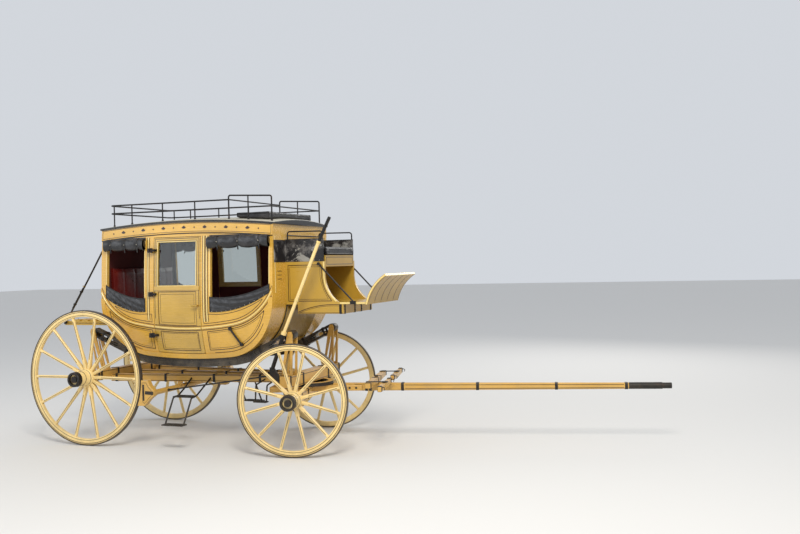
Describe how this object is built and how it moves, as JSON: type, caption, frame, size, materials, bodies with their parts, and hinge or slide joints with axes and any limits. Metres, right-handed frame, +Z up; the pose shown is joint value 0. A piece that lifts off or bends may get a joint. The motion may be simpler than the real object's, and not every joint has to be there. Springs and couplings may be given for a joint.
{
  "type": "stagecoach",
  "caption": "Horse-drawn stagecoach with a curved body slung on leather straps, wooden spoked wheels, steered front carriage, driver's boot and seat, roof rail and rear rack.",
  "frame": {"origin": "ground, under the middle of the whole length from rear tyre to pole tip and of the width over the rear hubs", "axes": "+X forward, +Y to the coach's left, +Z up; the front carriage and pole rest turned 12.5 degrees to the left"},
  "size_m": [6.6307, 1.955, 2.611],
  "materials": {
    "straw_paint": "gloss",
    "door_paint": "gloss",
    "boot_paint": "gloss",
    "wheel_paint": "gloss",
    "black_leather": "satin",
    "red_leather": "satin",
    "black_iron": "satin",
    "tyre_iron": "satin",
    "roof_canvas": "matt",
    "brown_wood": "satin",
    "glass": "gloss",
    "carriage_paint": "gloss"
  },
  "bodies": {
    "coach": {"aprons_left": "black_leather", "aprons_right": "black_leather", "bench_front": "brown_wood", "bench_middle": "brown_wood", "bench_rear": "brown_wood", "boot_belly": "boot_paint", "boot_stays": "black_iron", "brake_beam": "carriage_paint", "brake_lever": "carriage_paint", "curtains_left": "black_leather", "curtains_right": "black_leather", "driver_cushion": "black_leather", "floor": "brown_wood", "front_bolster": "carriage_paint", "front_boot": "boot_paint", "front_panel": "straw_paint", "letter_boards": "straw_paint", "perches": "carriage_paint", "rack_straps": "black_leather", "rear_axle": "carriage_paint", "rear_panel": "straw_paint", "rear_rack": "boot_paint", "roof": "roof_canvas", "roof_cushion": "black_leather", "roof_rail": "black_iron", "seat_box": "black_leather", "seat_leather_front": "red_leather", "seat_leather_rear": "red_leather", "seat_rail": "black_iron", "side_irons": "black_iron", "side_wall_left": "straw_paint", "side_wall_right": "straw_paint", "standards_front": "carriage_paint", "standards_rear": "carriage_paint", "steps_left": "black_iron", "steps_right": "black_iron", "thoroughbrace_left": "black_leather", "thoroughbrace_right": "black_leather", "toe_board": "boot_paint"},
    "door_leaf_right": {"door_right": "door_paint", "door_glass_right": "glass"},
    "rear_wheel_right": {"wheel_rear_right": "wheel_paint", "tyre_rear_right": "tyre_iron"},
    "front_wheel_right": {"wheel_front_right": "wheel_paint", "tyre_front_right": "tyre_iron"},
    "tree_right": {"singletree_right": "carriage_paint"},
    "door_leaf_left": {"door_left": "door_paint", "door_glass_left": "glass"},
    "rear_wheel_left": {"wheel_rear_left": "wheel_paint", "tyre_rear_left": "tyre_iron"},
    "front_wheel_left": {"wheel_front_left": "wheel_paint", "tyre_front_left": "tyre_iron"},
    "tree_left": {"singletree_left": "carriage_paint"},
    "front_carriage": {"front_axle": "carriage_paint", "hounds": "carriage_paint", "pole": "carriage_paint", "pole_tip": "black_iron"},
    "evener_bar": {"evener": "carriage_paint"}
  },
  "joints": [
    {"name": "steering", "type": "hinge", "parent": "coach", "child": "front_carriage", "pos_m": [-0.30339, 0, 0.6285], "axis": [0, 0, 1], "range_deg": [-28, 4]},
    {"name": "rear_wheel_spin_right", "type": "hinge", "parent": "coach", "child": "rear_wheel_right", "pos_m": [-2.59339, -0.7875, 0.722], "axis": [0, 1, 0], "continuous": true},
    {"name": "front_wheel_spin_right", "type": "hinge", "parent": "front_carriage", "child": "front_wheel_right", "pos_m": [-0.13295, -0.76883, 0.555], "axis": [-0.2164, 0.9763, 0], "continuous": true},
    {"name": "door_swing_right", "type": "hinge", "parent": "coach", "child": "door_leaf_right", "pos_m": [-1.79639, -0.68, 1.6], "axis": [0, 0, 1], "range_deg": [-90, 0]},
    {"name": "rear_wheel_spin_left", "type": "hinge", "parent": "coach", "child": "rear_wheel_left", "pos_m": [-2.59339, 0.7875, 0.722], "axis": [0, 1, 0], "continuous": true},
    {"name": "front_wheel_spin_left", "type": "hinge", "parent": "front_carriage", "child": "front_wheel_left", "pos_m": [-0.47384, 0.76883, 0.555], "axis": [-0.2164, 0.9763, 0], "continuous": true},
    {"name": "door_swing_left", "type": "hinge", "parent": "coach", "child": "door_leaf_left", "pos_m": [-1.79639, 0.68, 1.6], "axis": [0, 0, 1], "range_deg": [0, 90]},
    {"name": "evener_swing", "type": "hinge", "parent": "front_carriage", "child": "evener_bar", "pos_m": [0.38001, 0.15151, 0.657], "axis": [0, 0, 1], "range_deg": [-12, 12]},
    {"name": "tree_swing_right", "type": "hinge", "parent": "evener_bar", "child": "tree_right", "pos_m": [0.62224, -0.22499, 0.655], "axis": [0, 0, 1], "range_deg": [-12, 12]},
    {"name": "tree_swing_left", "type": "hinge", "parent": "evener_bar", "child": "tree_left", "pos_m": [0.44043, 0.5951, 0.655], "axis": [0, 0, 1], "range_deg": [-12, 12]}
  ]
}
